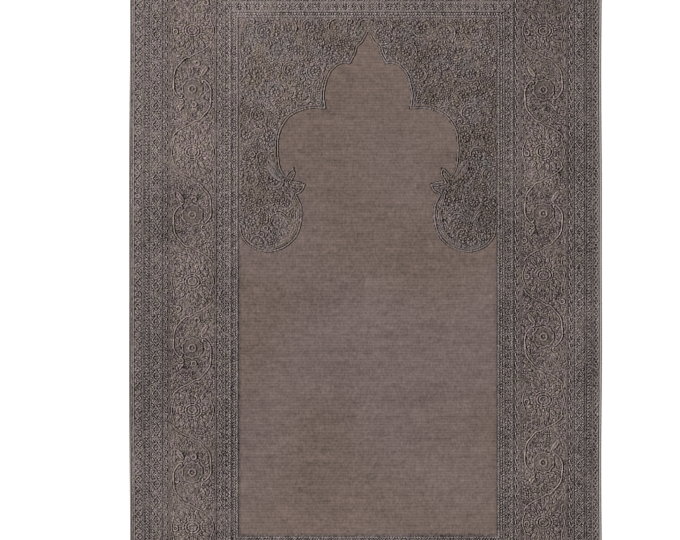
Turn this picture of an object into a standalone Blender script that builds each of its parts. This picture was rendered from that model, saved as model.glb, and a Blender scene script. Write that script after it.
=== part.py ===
"""Prayer rug: a flat embossed rug with an arched niche, a scrolled border and overlocked edges.

Metres, +Z up. The origin is on the floor under the middle of the rug, and +Y runs to the niche's point.
"""

import math

import bmesh
import bpy

# The whole rug, over its edging
RUG_WIDTH = 0.800
RUG_LENGTH = 1.240

# Heights above the floor
GROUND_Z = 0.0062           # the low pile, which is also the niche's plain field
PANEL_Z = 0.0068            # the ground between the flowers over the arch
LINE_Z = 0.0074             # border lines and the arch's rim
MOTIF_Z = 0.0078            # flowers, scrolls and leaves
HUB_Z = 0.0082              # the flowers' hearts
ROOT_Z = 0.0040             # where every raised form starts, inside the rug

# Overlocked edging: a bead of yarn along each edge
EDGING_WIDTH = 0.0044
EDGING_HEIGHT = 0.0074
SEAM_GAP = 0.0003

# The woven pattern is a little to the right of the cut edges
PATTERN_X = 0.0045
FIELD_HALF_WIDTH = 0.2185
FIELD_HALF_LENGTH = 0.4375
PANEL_MARGIN = 0.0012
RIM_WIDTH = 0.0022

# Border lines that run round the field: distance out from the field, width
BORDER_LINES = (
    (0.0010, 0.0024),
    (0.0110, 0.0020),
    (0.0260, 0.0020),
    (0.0370, 0.0030),
    (0.1160, 0.0030),
    (0.1280, 0.0022),
    (0.1480, 0.0022),
    (0.1600, 0.0034),
)

# Middle line of the main border, out from the field
BORDER_MIDDLE = 0.0780

# Flowers of the main border: side, place along it, which way its scroll leans
BORDER_FLOWERS = (
    ("left", 0.3175, 1),
    ("left", 0.1050, -1),
    ("left", -0.1200, 1),
    ("left", -0.3300, -1),
    ("right", 0.3160, 1),
    ("right", 0.1070, -1),
    ("right", -0.1010, 1),
    ("right", -0.3135, -1),
    ("top", -0.0990, -1),
    ("top", 0.0990, 1),
    ("bottom", -0.0990, 1),
    ("bottom", 0.0990, -1),
)
FLOWER_RADIUS = 0.0160
FLOWER_PETALS = 8
PETAL_WAIST = 0.76          # reach between two petals, as a share of a petal's
HUB_RADIUS = 0.0062
HUB_CORNERS = 8
SCROLL_ALONG = 0.0540       # reach of a scroll along the border
SCROLL_ACROSS = 0.0345      # and across it
SCROLL_WIDTH = 0.0044
SCROLL_START = 8            # degrees round its flower
SCROLL_SWEEP = 100
SCROLL_STEPS = 7
SCROLL_DRAWN_IN = 0.28      # how far its tail runs in towards the flower
SCROLL_BLUNT = 0.04         # how blunt its head is
BUD_AWAY = 0.0370           # a bud's distance and bearing from its flower
BUD_BEARING = 146
LOTUS_LENGTH = 0.0300
LOTUS_WIDTH = 0.0400
LOTUS_TIPS = (-80, -42, 0, 42, 80)      # bearings of its petals
LOTUS_WAIST = 0.70
LEAF_LENGTH = 0.0240
LEAF_WIDTH = 0.0090

# Lozenges of the outer minor border
LOZENGE_OUT = 0.1390
LOZENGE_PITCH = 0.0300
LOZENGE_LENGTH = 0.0190
LOZENGE_WIDTH = 0.0150

# Flowers over the arch
PANEL_FLOWER_RADIUS = 0.0095
PANEL_FLOWER_PETALS = 6
PANEL_PITCH = 0.0450
PANEL_ROW_PITCH = 0.0360
PANEL_FIRST_ROW = 0.4170
PANEL_CLEARANCE = 0.0130

# The arch's left half, in strokes that meet at corners: x from the pattern's axis, y
ARCH_STROKES = (
    ((0.0000, 0.4140), (-0.0090, 0.3970), (-0.0180, 0.3880), (-0.0205, 0.3780), (-0.0300, 0.3600)),
    ((-0.0300, 0.3600), (-0.0420, 0.3610), (-0.0540, 0.3550), (-0.0660, 0.3400), (-0.0735, 0.3110),
     (-0.0710, 0.2840)),
    ((-0.0710, 0.2840), (-0.1010, 0.2840), (-0.1300, 0.2720), (-0.1470, 0.2480), (-0.1510, 0.2240),
     (-0.1490, 0.1890), (-0.1400, 0.1700)),
    ((-0.1400, 0.1700), (-0.1330, 0.1790), (-0.1260, 0.1840)),
    ((-0.1260, 0.1840), (-0.1230, 0.1740), (-0.1310, 0.1590)),
    ((-0.1310, 0.1590), (-0.1170, 0.1560), (-0.1050, 0.1570)),
    ((-0.1050, 0.1570), (-0.1110, 0.1450), (-0.1210, 0.1390)),
    ((-0.1210, 0.1390), (-0.1130, 0.1220), (-0.1115, 0.1000), (-0.1190, 0.0710), (-0.1400, 0.0500),
     (-0.1690, 0.0420), (-0.1970, 0.0500), (-0.2130, 0.0670), (-0.2173, 0.0860)),
)
STROKE_STEPS = 2            # straight pieces between two points of a stroke

# Slow wander of each cut edge: depth, waves along the edge, start in turns
EDGE_WANDER = {
    "left": ((0.0007, 1.30, 0.62), (0.0003, 3.10, 0.20)),
    "right": ((0.0005, 1.90, 0.30), (0.0003, 3.70, 0.85)),
    "top": ((0.0006, 0.90, 0.15), (0.0003, 2.30, 0.40)),
    "bottom": ((0.0006, 1.10, 0.70), (0.0003, 2.60, 0.05)),
}
EDGE_PITCH = 0.050          # distance between points along an edge

# Pile and edging colours
PILE_COLOUR = (0.150, 0.118, 0.113, 1.0)
EDGING_COLOUR = (0.215, 0.185, 0.178, 1.0)
CLOTH_ROUGHNESS = 0.95

WELD = 0.00001
FLAT_ANGLE = math.radians(0.05)     # faces nearer than this to one plane become one face


def clear_scene():
    for thing in list(bpy.data.objects):
        bpy.data.objects.remove(thing, do_unlink=True)


def new_collection(name):
    collection = bpy.data.collections.new(name)
    bpy.context.scene.collection.children.link(collection)
    return collection


def cloth_material(name, colour):
    material = bpy.data.materials.new(name)
    material.use_nodes = True
    shader = material.node_tree.nodes["Principled BSDF"]
    shader.inputs["Base Color"].default_value = colour
    shader.inputs["Roughness"].default_value = CLOTH_ROUGHNESS
    shader.inputs["Metallic"].default_value = 0.0
    return material


# ---- curves made solid ----

def add_spline(curve, points, closed):
    spline = curve.splines.new("POLY")
    spline.points.add(len(points) - 1)
    for knot, (x, y) in zip(spline.points, points):
        knot.co = (x, y, 0.0, 1.0)
    spline.use_cyclic_u = closed


def curve_to_solid(curve, height, flat_faces, collection):
    """Turn a curve, lifted to a height, into a welded mesh, with each flat top or base one face if asked."""
    holder = bpy.data.objects.new(curve.name, curve)
    holder.location.z = height
    collection.objects.link(holder)
    graph = bpy.context.evaluated_depsgraph_get()
    mesh = bpy.data.meshes.new_from_object(holder.evaluated_get(graph))
    solid = bpy.data.objects.new(curve.name + "_solid", mesh)
    solid.matrix_world = holder.matrix_world.copy()
    collection.objects.link(solid)
    bpy.data.objects.remove(holder, do_unlink=True)
    welded = bmesh.new()
    welded.from_mesh(mesh)
    bmesh.ops.remove_doubles(welded, verts=welded.verts, dist=WELD)
    if flat_faces:
        bmesh.ops.dissolve_limit(welded, angle_limit=FLAT_ANGLE, verts=welded.verts, edges=welded.edges)
    bmesh.ops.recalc_face_normals(welded, faces=welded.faces)
    welded.to_mesh(mesh)
    welded.free()
    return solid


def filled_solid(name, outlines, low, high, collection):
    """Closed outlines drawn up from low to high. An outline inside another is a hole."""
    curve = bpy.data.curves.new(name, "CURVE")
    curve.dimensions = "2D"
    curve.fill_mode = "BOTH"
    curve.extrude = (high - low) / 2
    for outline in outlines:
        add_spline(curve, outline, True)
    return curve_to_solid(curve, (high + low) / 2, True, collection)


# ---- the rug's wandering edges ----

def wander(side, turn):
    return sum(depth * math.sin(math.tau * (waves * turn + start))
               for depth, waves, start in EDGE_WANDER[side])


def edge_offsets(side, length):
    """How far each point of an edge stands back from the rug's full reach."""
    steps = round(length / EDGE_PITCH)
    waves = [wander(side, step / steps) for step in range(steps + 1)]
    reach = max(waves[1:-1])
    return [reach - wave for wave in waves]


def edge_line(side, inset):
    """Points of an edge, stepped in from the rug's outside, in rising x or y."""
    long_side = side in ("left", "right")
    length = RUG_LENGTH if long_side else RUG_WIDTH
    half = (RUG_WIDTH if long_side else RUG_LENGTH) / 2
    sign = 1 if side in ("right", "top") else -1
    offsets = edge_offsets(side, length)
    line = []
    for step, offset in enumerate(offsets):
        along = length * (step / (len(offsets) - 1) - 0.5)
        across = sign * (half - inset - offset)
        line.append((across, along) if long_side else (along, across))
    return line


def trimmed(line, axis, low, high):
    """Cut an edge's line to a span, with its outermost points moved onto the span's ends."""
    inner = [point for point in line if low + SEAM_GAP < point[axis] < high - SEAM_GAP]
    first = list(inner[0])
    last = list(inner[-1])
    first[axis] = low
    last[axis] = high
    return [tuple(first)] + inner[1:-1] + [tuple(last)]


def rug_outline(inset):
    """The rug's own outline, inside its edging, run round once."""
    left = edge_line("left", inset)
    right = edge_line("right", inset)
    bottom = edge_line("bottom", inset)
    top = edge_line("top", inset)
    low_y = bottom[0][1]
    high_y = top[0][1]
    left = trimmed(left, 1, low_y, high_y)
    right = trimmed(right, 1, bottom[-1][1], top[-1][1])
    bottom = trimmed(bottom, 0, left[0][0], right[0][0])
    top = trimmed(top, 0, left[-1][0], right[-1][0])
    return bottom[:-1] + right[:-1] + top[:0:-1] + left[:0:-1]


def edging_strip(side, collection):
    """A bead of yarn along one edge: the long sides run through, the ends fit between them."""
    radius = EDGING_WIDTH / 2
    line = edge_line(side, radius)
    if side in ("left", "right"):
        reach = RUG_LENGTH / 2 - radius
        line = trimmed(line, 1, -reach, reach)
    else:
        corner = 0 if side == "bottom" else -1
        low = edge_line("left", EDGING_WIDTH + SEAM_GAP)[corner][0]
        high = edge_line("right", EDGING_WIDTH + SEAM_GAP)[corner][0]
        line = trimmed(line, 0, low, high)
    curve = bpy.data.curves.new("edging_" + side, "CURVE")
    curve.dimensions = "3D"
    curve.twist_mode = "Z_UP"
    curve.fill_mode = "FULL"
    curve.use_fill_caps = True
    curve.bevel_depth = radius
    curve.bevel_resolution = 1
    curve.extrude = EDGING_HEIGHT / 2 - radius
    add_spline(curve, line, False)
    strip = curve_to_solid(curve, EDGING_HEIGHT / 2, False, collection)
    strip.name = "edging_" + side
    strip.data.shade_smooth()
    strip.data.set_sharp_from_angle(angle=math.radians(50))
    return strip


# ---- outlines of the raised forms ----

def rectangle(half_width, half_length):
    return [(PATTERN_X + half_width, half_length), (PATTERN_X - half_width, half_length),
            (PATTERN_X - half_width, -half_length), (PATTERN_X + half_width, -half_length)]


def border_line(out, width):
    """The two outlines of a line that runs round the field."""
    return [rectangle(FIELD_HALF_WIDTH + out + width, FIELD_HALF_LENGTH + out + width),
            rectangle(FIELD_HALF_WIDTH + out, FIELD_HALF_LENGTH + out)]


def through(points):
    """A smooth line through points, without its last point."""
    line = []
    for index in range(len(points) - 1):
        start = points[index]
        end = points[index + 1]
        before = points[max(index - 1, 0)]
        after = points[min(index + 2, len(points) - 1)]
        for step in range(STROKE_STEPS):
            t = step / STROKE_STEPS
            line.append(tuple(
                0.5 * (2 * b + (c - a) * t + (2 * a - 5 * b + 4 * c - d) * t ** 2
                       + (3 * b - a - 3 * c + d) * t ** 3)
                for a, b, c, d in zip(before, start, end, after)))
    return line


def arch_line():
    """The niche's outline from the foot of its left drop, over the point, to the right one."""
    half = []
    for stroke in ARCH_STROKES:
        half += through(stroke)
    half.append(ARCH_STROKES[-1][-1])
    left = [(PATTERN_X + x, y) for x, y in reversed(half)]
    right = [(PATTERN_X - x, y) for x, y in half[1:]]
    return left + right


def panel_outline():
    """The embossed ground round the arch, up to the field's top corners."""
    edge = FIELD_HALF_WIDTH - PANEL_MARGIN
    top = FIELD_HALF_LENGTH - PANEL_MARGIN
    return arch_line() + [(PATTERN_X + edge, top), (PATTERN_X - edge, top)]


def ring(radius, corners):
    turns = [math.tau * index / corners for index in range(corners)]
    return [(radius * math.cos(turn), radius * math.sin(turn)) for turn in turns]


def flower(radius, petals):
    """A flower's outline about the origin, drawn in between its petals."""
    tips = ring(radius, 2 * petals)
    waists = ring(radius * PETAL_WAIST, 2 * petals)
    return [tips[index] if index % 2 == 0 else waists[index] for index in range(2 * petals)]


def leaf(length, width):
    """A pointed leaf about the origin, along u."""
    return [(-length / 2, 0.0), (-length / 8, -width / 2), (length / 5, -width * 0.42),
            (length / 2, 0.0), (length / 5, width * 0.42), (-length / 8, width / 2)]


def lotus():
    """A fan-shaped flower along u: its stalk's end, then its petals with waists between them."""
    def on_fan(bearing, share):
        angle = math.radians(bearing)
        return (share * LOTUS_LENGTH / 2 * math.cos(angle), share * LOTUS_WIDTH / 2 * math.sin(angle))

    points = [(-LOTUS_LENGTH / 2, 0.0), on_fan(LOTUS_TIPS[0], 1.0)]
    for last, tip in zip(LOTUS_TIPS, LOTUS_TIPS[1:]):
        points.append(on_fan((last + tip) / 2, LOTUS_WAIST))
        points.append(on_fan(tip, 1.0))
    return points


def scroll(turned, lean):
    """A tapered scroll that holds a flower on one side, running in at its tail."""
    outer = []
    inner = []
    for step in range(SCROLL_STEPS + 1):
        t = step / SCROLL_STEPS
        angle = math.radians(SCROLL_START + SCROLL_SWEEP * t + turned)
        drawn_in = 1 - SCROLL_DRAWN_IN * t ** 3
        half = SCROLL_WIDTH / 2 * math.sin(math.pi * min(t + SCROLL_BLUNT, 1))
        along = math.cos(angle) * drawn_in
        across = math.sin(angle) * drawn_in * lean
        outer.append(((SCROLL_ALONG + half) * along, (SCROLL_ACROSS + half) * across))
        if 0 < step < SCROLL_STEPS:
            inner.append(((SCROLL_ALONG - half) * along, (SCROLL_ACROSS - half) * across))
    return outer + inner[::-1]


def turned_by(outline, degrees):
    cosine = math.cos(math.radians(degrees))
    sine = math.sin(math.radians(degrees))
    return [(u * cosine - v * sine, u * sine + v * cosine) for u, v in outline]


def moved(outline, du, dv):
    return [(u + du, v + dv) for u, v in outline]


def on_side(outline, side, along, out):
    """Put an outline on a border: u runs along the side and v runs out from the field."""
    placed = []
    for u, v in outline:
        if side in ("left", "right"):
            sign = 1 if side == "right" else -1
            placed.append((PATTERN_X + sign * (FIELD_HALF_WIDTH + out + v), along + u))
        else:
            sign = 1 if side == "top" else -1
            placed.append((PATTERN_X + along + u, sign * (FIELD_HALF_LENGTH + out + v)))
    return placed


# ---- what each border holds ----

def side_reach(side, out):
    half = FIELD_HALF_LENGTH if side in ("left", "right") else FIELD_HALF_WIDTH
    return half + out


def side_flowers(side):
    return [(along, lean) for place, along, lean in BORDER_FLOWERS if place == side]


def main_border(side):
    """The flowers with their scrolls and leaves, and a lotus between each two, along one side."""
    shapes = []
    for along, lean in side_flowers(side):
        shapes.append(on_side(flower(FLOWER_RADIUS, FLOWER_PETALS), side, along, BORDER_MIDDLE))
        for turned in (0, 180):
            bud = turned_by(moved(leaf(LEAF_LENGTH, LEAF_WIDTH), BUD_AWAY, 0), turned + BUD_BEARING * lean)
            shapes.append(on_side(bud, side, along, BORDER_MIDDLE))
            shapes.append(on_side(scroll(turned, lean), side, along, BORDER_MIDDLE))
    reach = side_reach(side, BORDER_MIDDLE)
    stations = sorted([along for along, lean in side_flowers(side)] + [-reach, reach])
    for low, high in zip(stations, stations[1:]):
        middle = (low + high) / 2
        facing = 90 if middle == 0 else math.degrees(math.atan2(0, middle))
        shapes.append(on_side(turned_by(lotus(), facing), side, middle, BORDER_MIDDLE))
    return shapes


def corner_centres():
    across = FIELD_HALF_WIDTH + BORDER_MIDDLE
    along = FIELD_HALF_LENGTH + BORDER_MIDDLE
    return [(PATTERN_X + x_side * across, y_side * along) for x_side in (-1, 1) for y_side in (-1, 1)]


def corner_shapes(x, y):
    """A corner's flower with a leaf on each diagonal."""
    shapes = [flower(FLOWER_RADIUS, FLOWER_PETALS)]
    for turn in (45, 135, 225, 315):
        shapes.append(turned_by(moved(leaf(LEAF_LENGTH, LEAF_WIDTH), BUD_AWAY, 0), turn))
    return [moved(shape, x, y) for shape in shapes]


def lozenge_row(side):
    """Evenly spread lozenges along one side of the outer minor border."""
    half_length = LOZENGE_LENGTH / 2
    half_width = LOZENGE_WIDTH / 2
    lozenge = [(half_length, 0.0), (0.0, half_width), (-half_length, 0.0), (0.0, -half_width)]
    span = 2 * side_reach(side, LOZENGE_OUT) - LOZENGE_LENGTH
    count = round(span / LOZENGE_PITCH)
    places = [span * ((index + 0.5) / count - 0.5) for index in range(count)]
    return [on_side(lozenge, side, along, LOZENGE_OUT) for along in places]


def border_shapes():
    shapes = []
    for side in ("left", "right", "top", "bottom"):
        shapes += main_border(side)
        shapes += lozenge_row(side)
    for x, y in corner_centres():
        shapes += corner_shapes(x, y)
    return shapes


def hub_shapes():
    hub = ring(HUB_RADIUS, HUB_CORNERS)
    shapes = [on_side(hub, side, along, BORDER_MIDDLE) for side, along, lean in BORDER_FLOWERS]
    return shapes + [moved(hub, x, y) for x, y in corner_centres()]


def inside(point, outline):
    x, y = point
    crossings = 0
    for (ax, ay), (bx, by) in zip(outline, outline[1:] + outline[:1]):
        if (ay > y) != (by > y) and x < ax + (bx - ax) * (y - ay) / (by - ay):
            crossings += 1
    return crossings % 2 == 1


def edge_distance(point, outline):
    x, y = point
    nearest = math.inf
    for (ax, ay), (bx, by) in zip(outline, outline[1:] + outline[:1]):
        run = (bx - ax) ** 2 + (by - ay) ** 2
        t = max(0.0, min(1.0, ((x - ax) * (bx - ax) + (y - ay) * (by - ay)) / run))
        nearest = min(nearest, math.hypot(x - ax - t * (bx - ax), y - ay - t * (by - ay)))
    return nearest


def panel_flowers(outline):
    """Small flowers on a staggered net, wherever the ground over the arch is wide enough."""
    small = flower(PANEL_FLOWER_RADIUS, PANEL_FLOWER_PETALS)
    rows = round(FIELD_HALF_LENGTH / PANEL_ROW_PITCH)
    columns = round(FIELD_HALF_WIDTH / PANEL_PITCH) + 1
    shapes = []
    for row in range(rows):
        y = PANEL_FIRST_ROW - row * PANEL_ROW_PITCH
        for column in range(-columns, columns + 1):
            x = PATTERN_X + (column + 0.5 * (row % 2)) * PANEL_PITCH
            if inside((x, y), outline) and edge_distance((x, y), outline) > PANEL_CLEARANCE:
                shapes.append(moved(small, x, y))
    return shapes


# ---- the pieces ----

def panel_solid(outline, collection):
    """The raised ground over the arch, sunk inside a rim that draws the niche."""
    panel = filled_solid("panel", [outline], ROOT_Z, LINE_Z, collection)
    shaped = bmesh.new()
    shaped.from_mesh(panel.data)
    top = [face for face in shaped.faces if face.normal.z > 0.5]
    bmesh.ops.inset_region(shaped, faces=top, thickness=RIM_WIDTH, depth=PANEL_Z - LINE_Z, use_even_offset=True)
    shaped.to_mesh(panel.data)
    shaped.free()
    return panel


def unite(target, cutter):
    cutter.hide_render = True
    cutter.display_type = "WIRE"
    union = target.modifiers.new("raise_" + cutter.name, "BOOLEAN")
    union.operation = "UNION"
    union.solver = "EXACT"
    union.object = cutter


def build_rug(pieces, cutters):
    rug = filled_solid("rug", [rug_outline(EDGING_WIDTH + SEAM_GAP)], 0.0, GROUND_Z, pieces)
    rug.name = "rug"
    lines = [outline for out, width in BORDER_LINES for outline in border_line(out, width)]
    outline = panel_outline()
    unite(rug, filled_solid("lines", lines, ROOT_Z, LINE_Z, cutters))
    unite(rug, filled_solid("motifs", border_shapes(), ROOT_Z, MOTIF_Z, cutters))
    unite(rug, filled_solid("hubs", hub_shapes(), ROOT_Z, HUB_Z, cutters))
    unite(rug, panel_solid(outline, cutters))
    unite(rug, filled_solid("panel_flowers", panel_flowers(outline), ROOT_Z, MOTIF_Z, cutters))
    return rug


def main():
    clear_scene()
    pieces = new_collection("prayer_rug")
    cutters = new_collection("cutters")
    rug = build_rug(pieces, cutters)
    rug.data.materials.append(cloth_material("pile", PILE_COLOUR))
    edging = cloth_material("edging", EDGING_COLOUR)
    for side in ("left", "right", "top", "bottom"):
        edging_strip(side, pieces).data.materials.append(edging)


main()
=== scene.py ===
"""Looks of the prayer rug: an embossed pile in one quiet colour, on its woven ground, with overlocked edges.

Metres, +Z up. The face is drawn as heights on a fine grid, motif by motif, and cut into a few pieces of pile.
A place on the border is how far along its side it lies, and how far out from the plain field.
"""

import math
import bpy
import numpy as np
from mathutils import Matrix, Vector


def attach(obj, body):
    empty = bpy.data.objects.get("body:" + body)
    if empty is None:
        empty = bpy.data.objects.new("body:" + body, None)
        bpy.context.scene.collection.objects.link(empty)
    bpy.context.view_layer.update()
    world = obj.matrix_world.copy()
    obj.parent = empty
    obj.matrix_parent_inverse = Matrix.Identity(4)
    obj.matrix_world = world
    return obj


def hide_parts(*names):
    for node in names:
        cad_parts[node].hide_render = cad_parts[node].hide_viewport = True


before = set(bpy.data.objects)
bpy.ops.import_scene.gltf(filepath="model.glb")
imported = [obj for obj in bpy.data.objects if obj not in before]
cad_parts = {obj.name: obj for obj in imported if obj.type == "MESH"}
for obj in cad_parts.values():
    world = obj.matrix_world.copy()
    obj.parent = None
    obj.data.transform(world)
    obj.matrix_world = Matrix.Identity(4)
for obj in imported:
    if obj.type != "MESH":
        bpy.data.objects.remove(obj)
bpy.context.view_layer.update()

# ---- sizes repeated from the solids, in metres ----

RUG_WIDTH = 0.800
RUG_LENGTH = 1.240
EDGING_WIDTH = 0.0044
SEAM_GAP = 0.0003
INSET = EDGING_WIDTH + SEAM_GAP
HALF_CLOTH_WIDTH = RUG_WIDTH / 2 - INSET
HALF_CLOTH_LENGTH = RUG_LENGTH / 2 - INSET
PATTERN_X = 0.0045          # the pattern lies this far to the right of the rug's middle
FIELD_HALF_WIDTH = 0.2185
FIELD_HALF_LENGTH = 0.4375
PANEL_MARGIN = 0.0012
BORDER_MIDDLE = 0.0780      # of the main border, out from the field
BORDER_LINES = (
    # start and width, out from the field
    (0.0110, 0.0020), (0.0260, 0.0020), (0.0370, 0.0030), (0.1160, 0.0030),
    (0.1280, 0.0022), (0.1480, 0.0022), (0.1600, 0.0034),
)
BORDER_FLOWERS = (
    # side, place along it, and which way its scrolls run
    ("left", 0.3175, 1), ("left", 0.1050, -1), ("left", -0.1200, 1), ("left", -0.3300, -1),
    ("right", 0.3160, 1), ("right", 0.1070, -1), ("right", -0.1010, 1), ("right", -0.3135, -1),
    ("top", -0.0990, -1), ("top", 0.0990, 1),
    ("bottom", -0.0990, 1), ("bottom", 0.0990, -1),
)
SCROLL_ALONG = 0.0540
BUD_AWAY = 0.0370
BUD_BEARING = 146
LOZENGE_PITCH = 0.0300
PANEL_FIRST_ROW = 0.4170
PANEL_PITCH = 0.0450
PANEL_ROW_PITCH = 0.0360
ARCH_STROKES = (
    # the niche's left half from its tip to the bulb's foot, a smooth line through each row of points
    ((0.0000, 0.4140), (-0.0090, 0.3970), (-0.0180, 0.3880), (-0.0205, 0.3780), (-0.0300, 0.3600)),
    ((-0.0300, 0.3600), (-0.0420, 0.3610), (-0.0540, 0.3550), (-0.0660, 0.3400), (-0.0735, 0.3110),
     (-0.0710, 0.2840)),
    ((-0.0710, 0.2840), (-0.1010, 0.2840), (-0.1300, 0.2720), (-0.1470, 0.2480), (-0.1510, 0.2240),
     (-0.1490, 0.1890), (-0.1400, 0.1700)),
    ((-0.1400, 0.1700), (-0.1330, 0.1790), (-0.1260, 0.1840)),
    ((-0.1260, 0.1840), (-0.1230, 0.1740), (-0.1310, 0.1590)),
    ((-0.1310, 0.1590), (-0.1170, 0.1560), (-0.1050, 0.1570)),
    ((-0.1050, 0.1570), (-0.1110, 0.1450), (-0.1210, 0.1390)),
    ((-0.1210, 0.1390), (-0.1130, 0.1220), (-0.1115, 0.1000), (-0.1190, 0.0710), (-0.1400, 0.0500),
     (-0.1690, 0.0420), (-0.1970, 0.0500), (-0.2130, 0.0670), (-0.2173, 0.0860)),
)
SIDES = ("left", "right", "top", "bottom")
EDGE_WANDER = {
    # depth, waves along the edge, and where they start
    "left": ((0.0007, 1.30, 0.62), (0.0003, 3.10, 0.20)),
    "right": ((0.0005, 1.90, 0.30), (0.0003, 3.70, 0.85)),
    "top": ((0.0006, 0.90, 0.15), (0.0003, 2.30, 0.40)),
    "bottom": ((0.0006, 1.10, 0.70), (0.0003, 2.60, 0.05)),
}
EDGE_PITCH = 0.050

# ---- heights above the floor ----

ROOT_Z = 0.0040             # top of the woven ground
LOWEST_Z = 0.0044
GROOVE_Z = 0.0046
BRAID_FLOOR_Z = 0.0050      # beside the fine lines that follow the niche
LINE_FLOOR_Z = 0.0054       # beside the border's lines
PLAIN_RING_Z = 0.0054
FIELD_LINE_Z = 0.0055
FIELD_Z = 0.0060
BAND_Z = 0.0063
PANEL_Z = 0.0064
RIM_Z = 0.0067
FINE_Z = 0.0070
LINE_Z = 0.0072
MOTIF_Z = 0.0075
HUB_Z = 0.0082              # the pile is nowhere higher

# ---- how the face is drawn ----

PITCH = 0.00136             # from one point of the face to the next
GROOVE = 0.0013             # width of the groove beside a raised form
FAR = 1.0                   # a distance that no form reaches
FIELD_LINE_HALF = 0.0014
INNER_BANDS_END = 0.0380    # the main border lies between these two, out from the field
OUTER_BANDS_START = 0.1180
LINE_SHADE_HALF = 0.0019          # half the width of the painted shade on a border line
KNOT = 0.00008              # how far one knot stands over another
STROKE_CELL = 0.0062        # strokes lean the same way over this far
STROKE_PITCH = 0.0038
STROKE_DEPTH = 0.0007
STROKE_CELLS = (600, 400)   # rows and columns of them, more than the face needs
RIB_PITCH = 0.0043          # of the slanting ribs in the narrow bands
RIB_FOLD = 0.0100           # they turn back after this far
ZIGZAG_START = 0.1634       # of the outermost band, out from the field
ZIGZAG_INNER = 0.1640
ZIGZAG_OUTER = 0.1760
ZIGZAG_PERIOD = 0.0195
RIGHT_ZIGZAG_OUTER = 0.1700
RIGHT_ZIGZAG_PERIOD = 0.0179
ROSETTE_RADIUS = 0.0150
ROSETTE_SCALLOPS = 10
SCALLOP_DEPTH = 0.0008
SCROLL_ACROSS = 0.0362      # nearer the border's edges than the solids' broader scroll
VINE_START = ((0.0800, -0.0328), (0.0745, -0.0290), (0.0660, -0.0180), (0.0600, -0.0050))
VINE_HOOK = ((-0.0150, 0.0205), (-0.0140, 0.0175), (-0.0110, 0.0172))
VINE_FIRST_BEARING = 8
VINE_TURN = 100
VINE_STEPS = 24
VINE_DRAWN_IN = 0.28        # share of its reach that a vine loses up to its hook
VINE_WAVER = 0.018          # share of its reach that a vine wavers by
VINE_WAVES = 17
VINE_FADES = 0.050          # a vine lies lower from this far along its border
LARGE_LEAF = 0.0240
VINE_REACH = 0.090          # of the patch that a motif is drawn on, to each side
FLOWER_REACH = 0.062
LOTUS_REACH = 0.055
FILL_START = 0.0410         # of the ground between the main border's motifs
FILL_END = 0.1150
PANEL_ROWS = 12
PANEL_COLUMNS = 5           # to each side of the middle
PANEL_REACH = 0.034
CUSP_REACH = 0.030
RIM_REACH = 0.030           # how far the distance to the niche's edge is measured
RIM_LINE = 0.0012           # how far in from the niche's edge its rim runs
BRAID_LINE = 0.0050         # and the fine line beside the rim
BRAID_CLEAR = 0.0062        # the panel's motifs start here
ARCH_FOOT = 0.036           # the face is cut below the bulbs
PLAIN_STEP = 4              # the plain field below keeps every fourth row and column
BULB_X = 0.1644             # middle of a bulb
BULB_Y = 0.0930
BULB_REACH = 0.0620
CRESCENT_WIDTH = 0.0120
CRESCENT_LEAN = 0.2
CURLED_SHARE = 0.60         # of the panel's flowers stand in a curl
LARGE_WORN_PATCH = 0.024
SMALL_WORN_PATCH = 0.011
WORN_FROM = 0.56            # of the clouds' depth, which runs from 0 to 1
WORN_TO = 0.78
WORN_AWAY = 0.35            # share of the relief that wear takes
WANDER_WIDTH = 0.050        # how far in from an edge the cloth follows its wander
# painted shade and highlight: the pile is painted lighter with its height, and where it stands over its
# neighbours
SHADE_BY_HEIGHT = 230.0
SHADE_BY_STEP = 1000.0
LINE_SHADE = 0.26            # how much darker the lines of the long sides are painted, as painted shade
SMOOTH_PILE = 80            # degrees, up to which two faces of the pile are shaded as one
GROUND_COLUMNS = 40
GROUND_ROWS = 62

# ---- overlocked edges ----

STITCH = 0.0042             # from one stitch to the next
STITCH_STEPS = 4
AROUND = 12
BEAD_HEIGHT = 0.0066        # flattened by use
BEAD_PROUD = 0.0003         # the yarn stands this far over its solid
BEAD_SQUARE = 0.85          # below 1, the bead's section is squarer than an oval
SMOOTH_YARN = 60            # degrees, as for the pile

# ---- the photograph's frame, and the light ----

PIXEL = 0.001688            # of the rug
PHOTO_WIDTH = 680
PHOTO_HEIGHT = 540
CENTRE_PIXEL_X = 365.3      # the rug's middle
CENTRE_PIXEL_Y = 277.0
SCALE_Z = 0.0070            # a pixel is that wide at this height
LENS = 85.0
FLOOR_SIZE = 40.0
FLOOR_STEPS = 8
VIEW_DEPTH = 60.0
ROOM_LIGHT = 0.27
WINDOW_LIGHT = 5.6
WINDOW_FROM = (-1.0, 0.22, 0.62)
WINDOW_SPREAD = 7           # degrees

random = np.random.default_rng(11)      # the same draws in every run


def smooth(x):
    """A soft step: 0 up to 0, and 1 from 1 on."""
    x = np.clip(x, 0.0, 1.0)
    return x * x * (3 - 2 * x)


def on_circle(radius, bearing):
    """The place on a circle at a bearing in degrees."""
    angle = math.radians(bearing)
    return radius * math.cos(angle), radius * math.sin(angle)


def through(points, steps=8):
    """A smooth line through points."""
    line = []
    for index in range(len(points) - 1):
        start, end = points[index], points[index + 1]
        before = points[max(index - 1, 0)]
        after = points[min(index + 2, len(points) - 1)]
        for step in range(steps):
            t = step / steps
            line.append(tuple(
                0.5 * (2 * b + (c - a) * t + (2 * a - 5 * b + 4 * c - d) * t ** 2
                       + (3 * b - a - 3 * c + d) * t ** 3)
                for a, b, c, d in zip(before, start, end, after)))
    return line + [points[-1]]


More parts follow.
